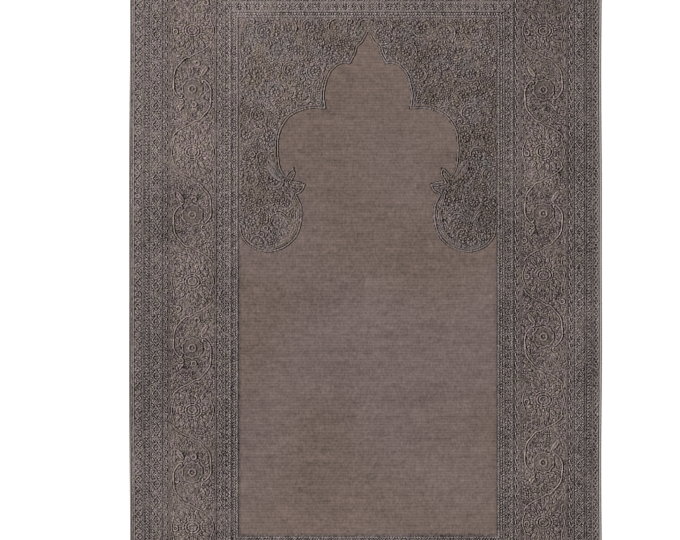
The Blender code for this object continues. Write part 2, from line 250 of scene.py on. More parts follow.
def away_from(line, u, v):
    """Distance from each point to a line of straight steps."""
    nearest = np.full(u.shape, np.inf)
    for (au, av), (bu, bv) in zip(line, line[1:]):
        du, dv = bu - au, bv - av
        t = np.clip(((u - au) * du + (v - av) * dv) / max(du * du + dv * dv, 1e-12), 0, 1)
        nearest = np.minimum(nearest, np.hypot(u - au - t * du, v - av - t * dv))
    return nearest


def side_reach(side, out):
    """How far from the pattern's middle a line of the border lies on one side."""
    return (FIELD_HALF_LENGTH if side in ("top", "bottom") else FIELD_HALF_WIDTH) + out


def side_half(side, out):
    """Half the length of a line of the border along one side."""
    return (FIELD_HALF_LENGTH if side in ("left", "right") else FIELD_HALF_WIDTH) + out


class Patch:
    """Part of the rug's face, seen from a motif's own place: u along it and v across it."""

    def __init__(self, u, v, z):
        self.u, self.v, self.z = u, v, z
        self.r = np.hypot(u, v)
        self.a = np.arctan2(v, u)

    def lay(self, height, cover):
        """Bring the face to a height, as far as the cover goes."""
        self.z += (height - self.z) * cover

    def ridge(self, away, width, top=FINE_Z, groove=GROOVE, floor=GROOVE_Z):
        """A raised line with a groove on both sides."""
        half = width / 2
        rise = np.sqrt(np.maximum(np.cos(np.pi / 2 * np.clip(away / half, 0, 1)), 0))
        cover = 1 - smooth((away - half - 0.3 * groove) / (0.7 * groove))
        self.lay(floor + (top - floor) * rise, cover)

    def pad(self, inside, top=MOTIF_Z, soft=0.0013, groove=GROOVE):
        """A raised form with a groove round it."""
        rise = np.sqrt(smooth(inside / soft))
        cover = smooth((inside + groove) / (0.7 * groove))
        self.lay(GROOVE_Z + (top - GROOVE_Z) * rise, cover)

    def turned(self, u, v, degrees):
        """Places seen from a point of this patch, turned by an angle."""
        angle = math.radians(degrees)
        du, dv = self.u - u, self.v - v
        return (du * math.cos(angle) + dv * math.sin(angle),
                dv * math.cos(angle) - du * math.sin(angle))

    # Small forms. Most take their place on the patch, a size and a turn, so that a table can list them.

    def dot(self, u, v, radius=0.0014, turn=0):
        """A small dome, the same whichever way it is turned."""
        self.pad(radius - np.hypot(self.u - u, self.v - v), soft=radius * 0.8)

    def beads(self, u, v, radius, bead=0.0013, turn=0, top=MOTIF_Z):
        """A ring of small domes side by side."""
        along, across = self.turned(u, v, turn)
        sector = math.tau / max(round(math.tau * radius / (bead * 2.9)), 4)
        r = np.hypot(along, across)
        fold = ((np.arctan2(across, along) / sector + 0.5) % 1 - 0.5) * sector
        self.pad(bead - np.hypot(r * np.cos(fold) - radius, r * np.sin(fold)), top, bead * 0.9, 0.0012)

    def seed(self, u, v, length, turn=0):
        """A low slim leaf without ribs."""
        self.leaf(u, v, length, turn, slim=0.40, ribs=0.0, top=FINE_Z)

    def oval(self, u, v, length, turn=0, top=MOTIF_Z):
        along, across = self.turned(u, v, turn)
        self.pad((1 - np.hypot(along / length, across / length * 1.8) * 2) * length * 0.30, top, soft=0.0012)

    def leaf(self, u, v, length, turn=0, slim=0.42, ribs=0.0004, top=MOTIF_Z):
        """A pointed leaf, with a groove down its middle if it is wide, and ribs that slant from it."""
        along, across = self.turned(u, v, turn)
        t = np.clip(along / length + 0.5, 0, 1)
        half = length * slim / 2 * np.sin(np.pi * t ** 0.85) ** 0.8
        ends = length / 2 - np.abs(along)
        self.pad(np.minimum(half - np.abs(across), ends * 0.8), top, soft=0.0011)
        body = smooth((half - np.abs(across)) / 0.001) * (ends > 0)
        if length * slim > 0.0034:
            self.z -= 0.0018 * np.exp(-(across / 0.0007) ** 2) * body
        vein = np.sin((along - 1.2 * np.abs(across)) * math.tau / 0.0040)
        self.z += ribs * vein * body

    def comma(self, u, v, size, turn=0):
        """A curled bud: a crescent that holds a dot."""
        along, across = self.turned(u, v, turn)
        r = np.hypot(along, across)
        a = np.arctan2(across, along)
        thick = size * (0.20 + 0.14 * np.cos((a - 0.5) / 2))
        self.pad(np.where(np.abs(a - 0.3) < 2.2, thick - np.abs(r - size * 0.74), -FAR), soft=0.0012)
        self.pad(size * 0.27 - r, soft=0.0010)

    def flower(self, u, v, radius, turn=0):
        """A ring of petals round a dot."""
        petal = 0.0017
        self.beads(u, v, radius - petal, petal, turn)
        self.dot(u, v, 0.0014)

    def sunk_flower(self, u, v, radius, turn=0):
        """A flower whose petals lie lower than the plain ground round it."""
        self.pad(radius + 0.0010 - np.hypot(self.u - u, self.v - v), BAND_Z + 0.0003, 0.0010, 0.0004)
        self.beads(u, v, radius * 0.64, radius * 0.29, turn, PLAIN_RING_Z)
        self.dot(u, v, 0.0013)

    def daisy(self, u, v, radius, petals, turn=0):
        """Slim petals like spokes round a dot."""
        for petal in range(petals):
            bearing = turn + 360 * petal / petals
            du, dv = on_circle(radius * 0.68, bearing)
            self.leaf(u + du, v + dv, radius * 0.60, bearing, slim=0.58, ribs=0.0)
        self.dot(u, v, 0.0017)

    def cross(self, u, v, radius, turn=0):
        """Four pointed petals about a dot."""
        for bearing in range(45, 405, 90):
            du, dv = on_circle(radius * 0.6, turn + bearing)
            self.leaf(u + du, v + dv, radius * 0.95, turn + bearing, slim=0.52, ribs=0.0)
        self.dot(u, v, radius * 0.2)

    def four_dots(self, u, v, spread=0.0030, turn=0):
        for bearing in range(0, 360, 90):
            du, dv = on_circle(spread, turn + bearing)
            self.dot(u + du, v + dv, spread * 0.56)

    def chevron(self, u, v, size, turn=0):
        along, across = self.turned(u, v, turn)
        bent = np.abs(along - np.abs(across)) * 0.707
        here = (np.abs(across) < size) & (np.abs(along) < size)
        self.ridge(np.where(here, bent, FAR), 0.0018, FINE_Z, 0.0011)

    def curl(self, u, v, radius, turn=0, open_by=60):
        """An open ring whose tail hooks inwards."""
        along, across = self.turned(u, v, turn)
        r = np.hypot(along, across)
        t = (np.degrees(np.arctan2(across, along)) - open_by) % 360 / (360 - 2 * open_by)
        wound = radius * (1 - 0.24 * smooth((t - 0.6) / 0.4))
        self.ridge(np.where(t <= 1, np.abs(r - wound), FAR), 0.0025, MOTIF_Z)

    def nine_dots(self, step_along, step_across, radius):
        """A diamond of dots, three by three."""
        for du in (-1, 0, 1):
            for dv in (-1, 0, 1):
                self.dot((du + dv) * step_along, (du - dv) * step_across, radius)

    def place(self, forms, flip_u=1, flip_v=1):
        """Small forms from a table, mirrored along or across for a flip of -1."""
        for form, u, v, size, turn in forms:
            getattr(self, form)(flip_u * u, flip_v * v, size, (turn if flip_u > 0 else 180 - turn) * flip_v)


# ---- the large flowers of the main border ----

def rosette(patch):
    """A ring with a dot in it, then a wide plain ring that lies low, with a scalloped rim."""
    edge = ROSETTE_RADIUS + SCALLOP_DEPTH * np.cos(ROSETTE_SCALLOPS * patch.a)
    patch.pad(edge + 0.0046 - patch.r, BAND_Z - 0.0003, soft=0.0010)
    patch.ridge(np.abs(patch.r - edge - 0.0018), 0.0026, LINE_Z - 0.0005, 0.0007)
    patch.pad(edge - patch.r, PLAIN_RING_Z, soft=0.0008, groove=0.0003)
    patch.ridge(np.abs(patch.r - 0.0058), 0.0030, MOTIF_Z - 0.0003, 0.0006)
    patch.dot(0.0, 0.0, 0.0016)


def vine_line():
    """Middle of the vine at one side of a rosette: from the border's edge, round the flower and hooked in."""
    line = through(VINE_START, 4)
    for step in range(VINE_STEPS + 1):
        t = step / VINE_STEPS
        angle = math.radians(VINE_FIRST_BEARING + VINE_TURN * t)
        drawn_in = 1 - VINE_DRAWN_IN * t ** 3 + VINE_WAVER * math.sin(VINE_WAVES * t)
        line.append((SCROLL_ALONG * math.cos(angle) * drawn_in, SCROLL_ACROSS * math.sin(angle) * drawn_in))
    return line + list(VINE_HOOK)


def vines(patch):
    """The two vines that hold a rosette, more worn in some places than in others."""
    line = vine_line()
    for sign in (1, -1):
        turned = [(sign * u, sign * v) for u, v in line]
        kept = 0.0004 * np.sin(patch.u * 170 + sign) * np.sin(patch.v * 210 + 2 * sign)
        top = MOTIF_Z + 0.0003 + kept - 0.0010 * smooth((np.abs(patch.u) - VINE_FADES) / 0.010)
        patch.ridge(away_from(turned, patch.u, patch.v), 0.0026, top, 0.0014)


FLOWER_FORMS = (
    # form, along, across, size, turn
    ("sunk_flower", 0.0300, 0.0150, 0.0066, 20),
    ("sunk_flower", 0.0320, -0.0080, 0.0060, 0),
    ("leaf", 0.0165, 0.0250, 0.0080, 60),
    ("comma", 0.0210, -0.0195, 0.0052, 60),
    ("sunk_flower", 0.0450, 0.0050, 0.0066, 10),
    ("four_dots", 0.0445, -0.0200, 0.0026, 0),
    ("leaf", 0.0400, 0.0235, 0.0100, 150),
    ("leaf", 0.0560, 0.0230, 0.0110, 110),
    ("leaf", 0.0480, 0.0315, 0.0100, 160),
    ("leaf", 0.0350, -0.0260, 0.0110, 15),
    ("leaf", 0.0080, -0.0300, 0.0100, 175),
    ("leaf", 0.0200, -0.0300, 0.0090, 200),
)


def flower_unit(patch):
    """A rosette with its buds, small flowers and leaves."""
    for sign in (1, -1):
        patch.place(FLOWER_FORMS, sign, sign)
        bearing = BUD_BEARING + 90 - 90 * sign
        patch.leaf(*on_circle(BUD_AWAY, bearing), LARGE_LEAF, bearing, slim=0.38)
    rosette(patch)


LOTUS_FORMS = (
    # form, along, across, size, turn
    ("leaf", 0.0250, 0.0070, 0.0150, 16),
    ("leaf", 0.0225, 0.0170, 0.0150, 38),
    ("leaf", 0.0120, 0.0235, 0.0130, 62),
    ("leaf", 0.0360, 0.0190, 0.0110, 35),
    ("leaf", 0.0400, 0.0040, 0.0090, 20),
    ("leaf", 0.0480, 0.0130, 0.0110, 60),
    ("sunk_flower", 0.0330, 0.0290, 0.0056, 10),
)
LOTUS_ARCS = (0.0135, 0.0095, 0.0055)


def lotus_unit(patch):
    """A round lotus of arcs in arcs, in a spray of leaves, between two wavy stems."""
    for flip_u in (1, -1):
        for flip_v in (1, -1):
            patch.place(LOTUS_FORMS, flip_u, flip_v)
    for sign in (1, -1):
        stem = [(0.001 * step, sign * (0.0330 + 0.0026 * math.cos(math.tau * step / 46)))
                for step in range(-30, 31, 3)]
        patch.ridge(away_from(stem, patch.u, patch.v), 0.0021, LINE_Z)
    fan = np.hypot(patch.u, patch.v * 0.86)
    for radius in LOTUS_ARCS:
        patch.ridge(np.abs(fan - radius), 0.0023, MOTIF_Z, 0.0009)
    for turn in range(12, 372, 24):
        angle = math.radians(turn)
        patch.leaf(0.0182 * math.cos(angle), 0.0200 * math.sin(angle), 0.0068, turn, slim=0.46, ribs=0.0)
    patch.dot(0.0, 0.0, 0.0018)


def corner_unit(patch):
    """A rosette in a ring, with a leaf on each diagonal."""
    for turn in (45, 135, 225, 315):
        patch.leaf(*on_circle(BUD_AWAY, turn), LARGE_LEAF, turn, slim=0.38)
        patch.flower(*on_circle(0.030, turn + 45), 0.0048)
    patch.ridge(np.abs(patch.r - 0.0220), 0.0024, LINE_Z)
    rosette(patch)


# ---- the whole face ----

class Canvas:
    """The whole face as heights on a grid of points, with columns along x and rows along y."""

    def __init__(self, x, y):
        self.x, self.y = x, y
        self.px, self.py = np.meshgrid(x - PATTERN_X, y)
        across = np.abs(self.px) - FIELD_HALF_WIDTH
        along = np.abs(self.py) - FIELD_HALF_LENGTH
        self.upright = across > along
        self.out = np.maximum(across, along)
        self.along = np.where(self.upright, self.py, self.px)
        self.z = np.full(self.px.shape, BAND_Z)
        # painted shade on the border lines of the long sides
        self.line_shade = np.zeros(self.px.shape)
        self.browned = np.zeros(self.px.shape)
        self.carried = {}

    def window(self, cx, cy, reach):
        """The rows and columns within a reach of a place."""
        columns = slice(*np.searchsorted(self.x - PATTERN_X, (cx - reach, cx + reach)))
        rows = slice(*np.searchsorted(self.y, (cy - reach, cy + reach)))
        return rows, columns

    def border_patch(self, side, along, reach, flip=1):
        """The patch round a place in the middle of the main border."""
        sign = 1 if side in ("right", "top") else -1
        upright = side in ("left", "right")
        out = sign * side_reach(side, BORDER_MIDDLE)
        cx, cy = (out, along) if upright else (along, out)
        here = self.window(cx, cy, reach)
        dx, dy = self.px[here] - cx, self.py[here] - cy
        u, v = (dy, sign * dx) if upright else (dx, sign * dy)
        return Patch(u, v * flip, self.z[here])

    def spot(self, cx, cy, reach):
        """The patch round any place of the face."""
        here = self.window(cx, cy, reach)
        return Patch(self.px[here] - cx, self.py[here] - cy, self.z[here])

    def border(self):
        """The whole face as one patch, along each side and out from the field."""
        return Patch(self.along, self.out, self.z)

    def face(self):
        """The whole face as one patch."""
        return Patch(self.px, self.py, self.z)

    def distance(self, line, reach):
        """Distance to a long line of straight steps, out to a reach and no further."""
        nearest = np.full(self.z.shape, FAR)
        for a, b in zip(line, line[1:]):
            here = self.window((a[0] + b[0]) / 2, (a[1] + b[1]) / 2, reach + math.dist(a, b) / 2)
            nearest[here] = np.minimum(nearest[here], away_from([a, b], self.px[here], self.py[here]))
        return nearest

    def repeat(self, low, high, pitch, draw):
        """One motif repeated all round the rug, between two distances out from the field."""
        here = (self.out > low) & (self.out < high)
        middle = (low + high) / 2
        half = np.where(self.upright[here], FIELD_HALF_LENGTH, FIELD_HALF_WIDTH) + middle
        step = 2 * half / np.rint(2 * half / pitch)
        u = ((self.along[here] + half) / step % 1.0 - 0.5) * step
        patch = Patch(u, self.out[here] - middle, self.z[here])
        draw(patch)
        self.z[here] = patch.z


# ---- the narrow bands ----

def seed_row(patch):
    """Three seeds, the middle one long."""
    patch.oval(0.0, 0.0, 0.0064, top=FINE_Z)
    for u in (-0.0047, 0.0047):
        patch.oval(u, 0.0, 0.0048, 90, FINE_Z)


def dotted_diamond(patch):
    """Nine dots between two chevrons that point away from them."""
    patch.nine_dots(0.0019, 0.0019, 0.0012)
    for sign in (1, -1):
        patch.chevron(sign * 0.0056, 0.0, 0.0042, 90 - 90 * sign)


def guard_leaves(patch):
    """Two slim leaves that pass each other, with a dot beside each."""
    patch.leaf(-0.0038, 0.0017, 0.0078, 8, slim=0.34)
    patch.leaf(0.0036, -0.0017, 0.0078, 8, slim=0.34)
    patch.dot(0.0032, 0.0026, 0.0011)
    patch.dot(-0.0036, -0.0026, 0.0011)


def lozenge(patch):
    """A lozenge's rim round nine dots, with four leaves between it and the next."""
    shape = 1 - np.abs(patch.u) / 0.0095 - np.abs(patch.v) / 0.0075
    patch.ridge(np.abs(shape - 0.10) * 0.0058, 0.0020, MOTIF_Z, 0.0012)
    patch.nine_dots(0.0019, 0.0016, 0.0011)
    for su in (1, -1):
        for sv in (1, -1):
            patch.leaf(su * 0.0108, sv * 0.0056, 0.0070, 50 * su * sv, slim=0.44)


def slanted_leaves(patch):
    for u in (-0.0050, 0.0, 0.0050):
        patch.leaf(u, 0.0, 0.0086, 58, slim=0.32, ribs=0.0, top=FINE_Z)


NARROW_BANDS = (
    # from and to, out from the field, then pitch and motif
    (0.0030, 0.0110, 0.0138, seed_row),
    (0.0130, 0.0260, 0.0150, dotted_diamond),
    (0.0280, 0.0370, 0.0150, guard_leaves),
    (0.1190, 0.1280, 0.0150, guard_leaves),
    (0.1302, 0.1480, LOZENGE_PITCH, lozenge),
    (0.1502, 0.1600, 0.0150, slanted_leaves),
)


def zigzag(canvas):
    """The outermost band: two crossed zigzags and a line beside them, with a ring in each diamond."""
    right = canvas.upright & (canvas.px > 0)
    outer = np.where(right, RIGHT_ZIGZAG_OUTER, ZIGZAG_OUTER)
    middle, swing = (outer + ZIGZAG_INNER) / 2, (outer - ZIGZAG_INNER) / 2
    period = np.where(right, RIGHT_ZIGZAG_PERIOD, ZIGZAG_PERIOD)
    turn = canvas.along / period % 1
    wave = 4 * np.abs(turn - 0.5) - 1
    steep = np.hypot(1, 4 * swing / period)
    band = canvas.out > ZIGZAG_START
    border = canvas.border()
    for sign in (1, -1):
        away = np.abs(canvas.out - middle - sign * swing * wave) / steep
        border.ridge(np.where(band, away, FAR), 0.0024, MOTIF_Z, 0.0014)
    heart = np.hypot(((turn + 0.5) % 1 - 0.5) * period, canvas.out - middle)
    border.ridge(np.where(band, np.abs(heart - 0.0030), FAR), 0.0018, LINE_Z, 0.0008, 0.0052)
    border.ridge(np.where(band, np.abs(canvas.out - outer - 0.0012), FAR), 0.0020, LINE_Z, 0.0008, 0.0058)
    canvas.z[canvas.out > outer + 0.0028] = RIM_Z


def herringbone(canvas):
    """Slanting ribs in the ground of the narrow bands."""
    outside = (canvas.out > 0.0) & ((canvas.out < INNER_BANDS_END) | (canvas.out > OUTER_BANDS_START))
    fold = np.abs((canvas.out / RIB_FOLD) % 1 - 0.5) * 2 * RIB_FOLD
    ribs = np.sin(math.tau * (canvas.along + 0.9 * fold) / RIB_PITCH)
    canvas.z += (0.0002 + 0.0009 * (canvas.z == BAND_Z)) * ribs * outside


def border_lines(canvas):
    """The lines that run round between the bands, with painted shade on them along the two long sides."""
    border = canvas.border()
    for start, width in BORDER_LINES:
        away = np.abs(canvas.out - start - width / 2)
        border.ridge(away, width * 0.8, BAND_Z + 0.0002, 0.0010, LINE_FLOOR_Z)
        canvas.line_shade = np.maximum(canvas.line_shade, canvas.upright * smooth((LINE_SHADE_HALF - away) / 0.0007))
    canvas.z[np.abs(canvas.out) < FIELD_LINE_HALF] = FIELD_LINE_Z


# ---- the main border ----

BORDER_FILL = (
    # form, clear radius that it takes, size
    ("cross", 0.0068, 0.0058),
    ("comma", 0.0062, 0.0052),
    ("leaf", 0.0038, 0.0084),
    ("seed", 0.0027, 0.0058),
)


def all_vines(canvas):
    for side, at, lean in BORDER_FLOWERS:
        vines(canvas.border_patch(side, at, VINE_REACH, lean))


def main_border(canvas):
    """Rosettes with lotuses between them, one more in each corner, and vines and small forms round them.

    The vines are drawn before the small forms, to keep their room, and again over them.
    """
    for side, at, lean in BORDER_FLOWERS:
        flower_unit(canvas.border_patch(side, at, FLOWER_REACH, lean))
    for side in SIDES:
        half = side_half(side, BORDER_MIDDLE)
        stations = sorted([at for place, at, lean in BORDER_FLOWERS if place == side] + [-half, half])
        for low, high in zip(stations, stations[1:]):
            lotus_unit(canvas.border_patch(side, (low + high) / 2, LOTUS_REACH))
    corner_x, corner_y = side_reach("right", BORDER_MIDDLE), side_reach("top", BORDER_MIDDLE)
    for sx in (-1, 1):
        for sy in (-1, 1):
            corner_unit(canvas.spot(sx * corner_x, sy * corner_y, LOTUS_REACH))
    all_vines(canvas)
    scatter(canvas, (canvas.out > FILL_START) & (canvas.out < FILL_END), BAND_Z, BORDER_FILL)
    all_vines(canvas)


def scatter(canvas, zone, ground, forms):
    """Sow small forms wherever the ground is still bare."""
    for form, clear, size in forms:
        bare = zone & (canvas.z == ground)
        for step in range(int(clear / PITCH) - 1):
            bare[1:-1, 1:-1] &= bare[:-2, 1:-1] & bare[2:, 1:-1] & bare[1:-1, :-2] & bare[1:-1, 2:]
        rows, columns = np.nonzero(bare)
        for index in random.permutation(len(rows)):
            patch = canvas.spot(canvas.px[0, columns[index]], canvas.py[rows[index], 0], clear * 1.5)
            if np.all(patch.z[patch.r < clear * 0.82] == ground):
                getattr(patch, form)(0.0, 0.0, size, random.choice((-45, 45)) + random.uniform(-15, 15))


# ---- the field, the niche and the panel over it ----

PANEL_FILL = (
    # form, clear radius that it takes, size
    ("flower", 0.0066, 0.0056),
    ("comma", 0.0054, 0.0048),
    ("leaf", 0.0038, 0.0080),
    ("seed", 0.0027, 0.0056),
)
CUSP_LEAVES = (
    # root, tip and slimness
    ((-0.1700, 0.1980), (-0.1420, 0.1590), 0.42),
    ((-0.1340, 0.1620), (-0.1245, 0.1840), 0.34),
    ((-0.1420, 0.1560), (-0.1060, 0.1570), 0.30),
)


def arch_line():
    """The niche's edge, from the foot of the left bulb over the tip to that of the right."""
    half = []
    for stroke in ARCH_STROKES:
        half += through(stroke, 6)[:-1]
    half.append(ARCH_STROKES[-1][-1])
    return list(reversed(half)) + [(-x, y) for x, y in half[1:]]


def within(outline, x, y):
    """Which points an outline of straight steps holds."""
    crossings = np.zeros(x.shape, bool)
    for (ax, ay), (bx, by) in zip(outline, outline[1:] + outline[:1]):
        if ay != by:
            crossings ^= ((ay > y) != (by > y)) & (x < ax + (bx - ax) * (y - ay) / (by - ay))
    return crossings


def panel_unit(canvas, x, y):
    """A flower of slim petals among leaves, often in an open curl, with a smaller flower beside it."""
    patch = canvas.spot(x + random.uniform(-0.007, 0.007), y + random.uniform(-0.005, 0.005), PANEL_REACH)
    curled = random.random() < CURLED_SHARE
    for turn in range(0, 360, 45):
        bearing = turn + random.uniform(-12, 12)
        patch.leaf(*on_circle(0.0200 if curled else 0.0145, bearing), 0.0080,
                   bearing + random.choice((-40, 40)), ribs=0.0)
    patch.flower(0.0230, random.uniform(-0.004, 0.004), 0.0062, 18)
    if curled:
        patch.curl(0.0, 0.0, random.uniform(0.0140, 0.0180), random.uniform(0, 360),
                   random.uniform(95, 135))
    radius = random.uniform(0.0084, 0.0100)
    patch.pad(radius + 0.0004 - patch.r, GROOVE_Z + 0.0012, soft=0.0014)
    patch.daisy(0.0, 0.0, radius, random.choice((7, 8, 9)), random.uniform(0, 60))


def panel_rows(canvas):
    """Staggered rows of flowers over the whole panel."""
    for row in range(PANEL_ROWS):
        y = PANEL_FIRST_ROW - row * PANEL_ROW_PITCH
        for column in range(-PANEL_COLUMNS, PANEL_COLUMNS + 1):
            x = (column + 0.5 * (row % 2)) * PANEL_PITCH
            if abs(x) < FIELD_HALF_WIDTH + 0.01:
                panel_unit(canvas, x, y)


def field_and_panel(canvas):
    """The plain field, the flowered panel over it, and the niche's rim between them."""
    line = arch_line()
    edge, top = FIELD_HALF_WIDTH - PANEL_MARGIN, FIELD_HALF_LENGTH - PANEL_MARGIN
    inside = within(line + [(edge, top), (-edge, top)], canvas.px, canvas.py)
    away = canvas.distance(line, RIM_REACH)
    canvas.z[canvas.out < 0.0] = FIELD_Z
    canvas.z[inside] = PANEL_Z
    kept = canvas.z.copy()
    panel_rows(canvas)
    deep = inside & (away > BRAID_CLEAR)
    scatter(canvas, deep, PANEL_Z, PANEL_FILL)
    canvas.z[:] = np.where(deep, canvas.z, kept)
    bulb_crescents(canvas, inside, away)
    cusp_leaves(canvas)
    face = canvas.face()
    face.ridge(np.where(inside, np.abs(away - BRAID_LINE), FAR), 0.0018, FINE_Z, 0.0010, BRAID_FLOOR_Z)
    signed = np.where(inside, away, -away)
    face.ridge(np.where(away < 0.02, np.abs(signed - RIM_LINE), FAR), 0.0024, MOTIF_Z, 0.0012)


def bulb_crescents(canvas, inside, away):
    """A plain crescent along each bulb's rim, widest towards the field."""
    face = canvas.face()
    for sign in (1, -1):
        u, v = canvas.px * sign + BULB_X, canvas.py - BULB_Y
        facing = (u * math.cos(CRESCENT_LEAN) - v * math.sin(CRESCENT_LEAN)) / np.hypot(u, v).clip(0.001)
        width = CRESCENT_WIDTH * smooth((facing - 0.10) / 0.55)
        here = inside & (np.hypot(u, v) < BULB_REACH) & (width > BRAID_CLEAR)
        canvas.z[here & (away < width)] = PANEL_Z
        face.ridge(np.where(here, np.abs(away - width), FAR), 0.0020, FINE_Z, 0.0010, BRAID_FLOOR_Z)


def cusp_leaves(canvas):
    """A long ribbed leaf over each cusp, and a short one in each of its two points."""
    for (ax, ay), (bx, by), slim in CUSP_LEAVES:
        for sign in (1, -1):
            patch = canvas.spot(sign * (ax + bx) / 2, (ay + by) / 2, CUSP_REACH)
            bearing = math.degrees(math.atan2(by - ay, sign * (bx - ax)))
            patch.leaf(0.0, 0.0, math.hypot(bx - ax, by - ay), bearing, slim=slim, ribs=0.0008, top=FINE_Z)


def slanting_strokes(canvas, zone):
    """Short strokes in a plain ground, leaning to one side or the other from place to place."""
    row = np.floor(canvas.py / STROKE_CELL).astype(int)
    column = np.floor(canvas.px / STROKE_CELL + 0.5 * (row % 2)).astype(int)
    lean = random.choice((-1.0, 1.0), STROKE_CELLS)[row, column]
    start = random.random(STROKE_CELLS)[row, column]
    slanted = 0.75 * lean * canvas.px + 0.66 * canvas.py
    waves = np.sin(math.tau * (slanted / STROKE_PITCH + start))
    canvas.z += np.where(zone, STROKE_DEPTH * waves, 0.0)


# ---- wear, tone and painted shade ----

def cloud(canvas, size):
    """Soft patches of about one size, from 0 to 1."""
    rows, columns = int(RUG_LENGTH / size) + 3, int(RUG_WIDTH / size) + 3
    values = random.random((rows, columns))
    across, along = (canvas.x + RUG_WIDTH / 2) / size, (canvas.y + RUG_LENGTH / 2) / size
    across = np.floor(across) + smooth(across % 1)
    along = np.floor(along) + smooth(along % 1)
    spread = np.array([np.interp(across, np.arange(columns), row) for row in values])
    return np.array([np.interp(along, np.arange(rows), column) for column in spread.T]).T


def wear_down(canvas):
    """Flatten the relief in patches, and let one knot stand a little over another."""
    patterned = (canvas.z != FIELD_Z) & (canvas.z != FIELD_LINE_Z)
    clouds = cloud(canvas, LARGE_WORN_PATCH) * 0.6 + cloud(canvas, SMALL_WORN_PATCH) * 0.4
    worn = smooth((clouds - WORN_FROM) / (WORN_TO - WORN_FROM)) * patterned
    canvas.browned = worn * 0.2 + 0.7 * (np.abs(canvas.z - PLAIN_RING_Z) < 0.00001)
    canvas.z -= (canvas.z - BAND_Z) * worn * WORN_AWAY
    knots = random.normal(0.0, KNOT, canvas.z.shape)
    knots[1:] += 0.6 * knots[:-1]
    canvas.z += np.where(patterned, knots, 0.0)
    np.clip(canvas.z, LOWEST_Z, HUB_Z, out=canvas.z)


def painted_relief_shade(canvas):
    """Painted shade and highlight on the pile: its tips are painted light, what lies low among them is
    painted dark as shade, and the lines of the long sides get painted shade too.
    """
    soft = canvas.z
    for axis in (0, 1):
        soft = (np.roll(soft, 1, axis) + 2 * soft + np.roll(soft, -1, axis)) / 4
    light = 0.5 + (canvas.z - BAND_Z) * SHADE_BY_HEIGHT + (canvas.z - soft) * SHADE_BY_STEP
    return light - canvas.line_shade * LINE_SHADE


def draw_face():
    """The heights of the whole face, with what its points carry for the pile's finish."""
    x = np.linspace(-HALF_CLOTH_WIDTH, HALF_CLOTH_WIDTH, round(2 * HALF_CLOTH_WIDTH / PITCH) + 1)
    y = np.linspace(-HALF_CLOTH_LENGTH, HALF_CLOTH_LENGTH, round(2 * HALF_CLOTH_LENGTH / PITCH) + 1)
    canvas = Canvas(x, y)
    for low, high, pitch, motif in NARROW_BANDS:
        canvas.repeat(low, high, pitch, motif)
    zigzag(canvas)
    main_border(canvas)
    field_and_panel(canvas)
    slanting_strokes(canvas, canvas.z == PANEL_Z)
    herringbone(canvas)
    border_lines(canvas)
    wear_down(canvas)
    # the points carry the painted shade and highlight, the browned tone, and which of them are carved
    canvas.carried = {
        "painted_relief_shade": painted_relief_shade(canvas),
        "browned": canvas.browned,
        "carved": canvas.z != FIELD_Z,
    }
    return canvas


# ---- the cloth's edges ----

def wander(side, turn):
    """How far an edge strays outwards, at a turn from 0 to 1 along it."""
    return sum(depth * np.sin(math.tau * (waves * turn + start)) for depth, waves, start in EDGE_WANDER[side])


def edge_offset(side, along):
    """How far an edge stands back from the rug's full reach."""
    length = RUG_LENGTH if side in ("left", "right") else RUG_WIDTH
    steps = round(length / EDGE_PITCH)
    reach = max(wander(side, step / steps) for step in range(1, steps))
    return reach - wander(side, along / length + 0.5)


def settled(x, y):
    """Where a point of the even grid lies once the cut edges wander."""
    near_x = smooth((np.abs(x) - HALF_CLOTH_WIDTH + WANDER_WIDTH) / WANDER_WIDTH)
    near_y = smooth((np.abs(y) - HALF_CLOTH_LENGTH + WANDER_WIDTH) / WANDER_WIDTH)
    off_x = np.where(x > 0, -edge_offset("right", y), edge_offset("left", y))
    off_y = np.where(y > 0, -edge_offset("top", x), edge_offset("bottom", x))
    return x + off_x * near_x, y + off_y * near_y


# ---- pieces of pile ----

def begin_edit(piece):
    """Edit this piece alone, by its edges."""
    bpy.ops.object.select_all(action="DESELECT")
    piece.select_set(True)
    bpy.context.view_layer.objects.active = piece
    bpy.ops.object.mode_set(mode="EDIT")
    bpy.ops.mesh.select_mode(type="EDGE")


def close_and_end_edit(smooth_below):
    """Fill the open ends, point all faces out and shade the piece smooth up to an angle."""
    bpy.ops.mesh.select_all(action="DESELECT")
    bpy.ops.mesh.select_non_manifold()
    bpy.ops.mesh.fill_holes(sides=0)
    bpy.ops.mesh.select_all(action="SELECT")
    bpy.ops.mesh.normals_make_consistent(inside=False)
    bpy.ops.object.mode_set(mode="OBJECT")
    bpy.ops.object.shade_smooth_by_angle(angle=math.radians(smooth_below))


def coordinates(mesh):
    points = np.empty(len(mesh.vertices) * 3, np.float32)
    mesh.vertices.foreach_get("co", points)
    return points.reshape(-1, 3).astype(float)


def move_to(mesh, points):
    mesh.vertices.foreach_set("co", points.astype(np.float32).ravel())
    mesh.update()


def grid(name, columns, rows):
    """A flat grid of faces, with each point's column and row."""
    bpy.ops.object.select_all(action="DESELECT")
    bpy.ops.mesh.primitive_grid_add(x_subdivisions=columns, y_subdivisions=rows, size=1.0)
    piece = bpy.context.object
    piece.name = piece.data.name = name
    points = coordinates(piece.data)
    column = np.rint((points[:, 0] + 0.5) * columns).astype(int)
    row = np.rint((points[:, 1] + 0.5) * rows).astype(int)
    return piece, column, row


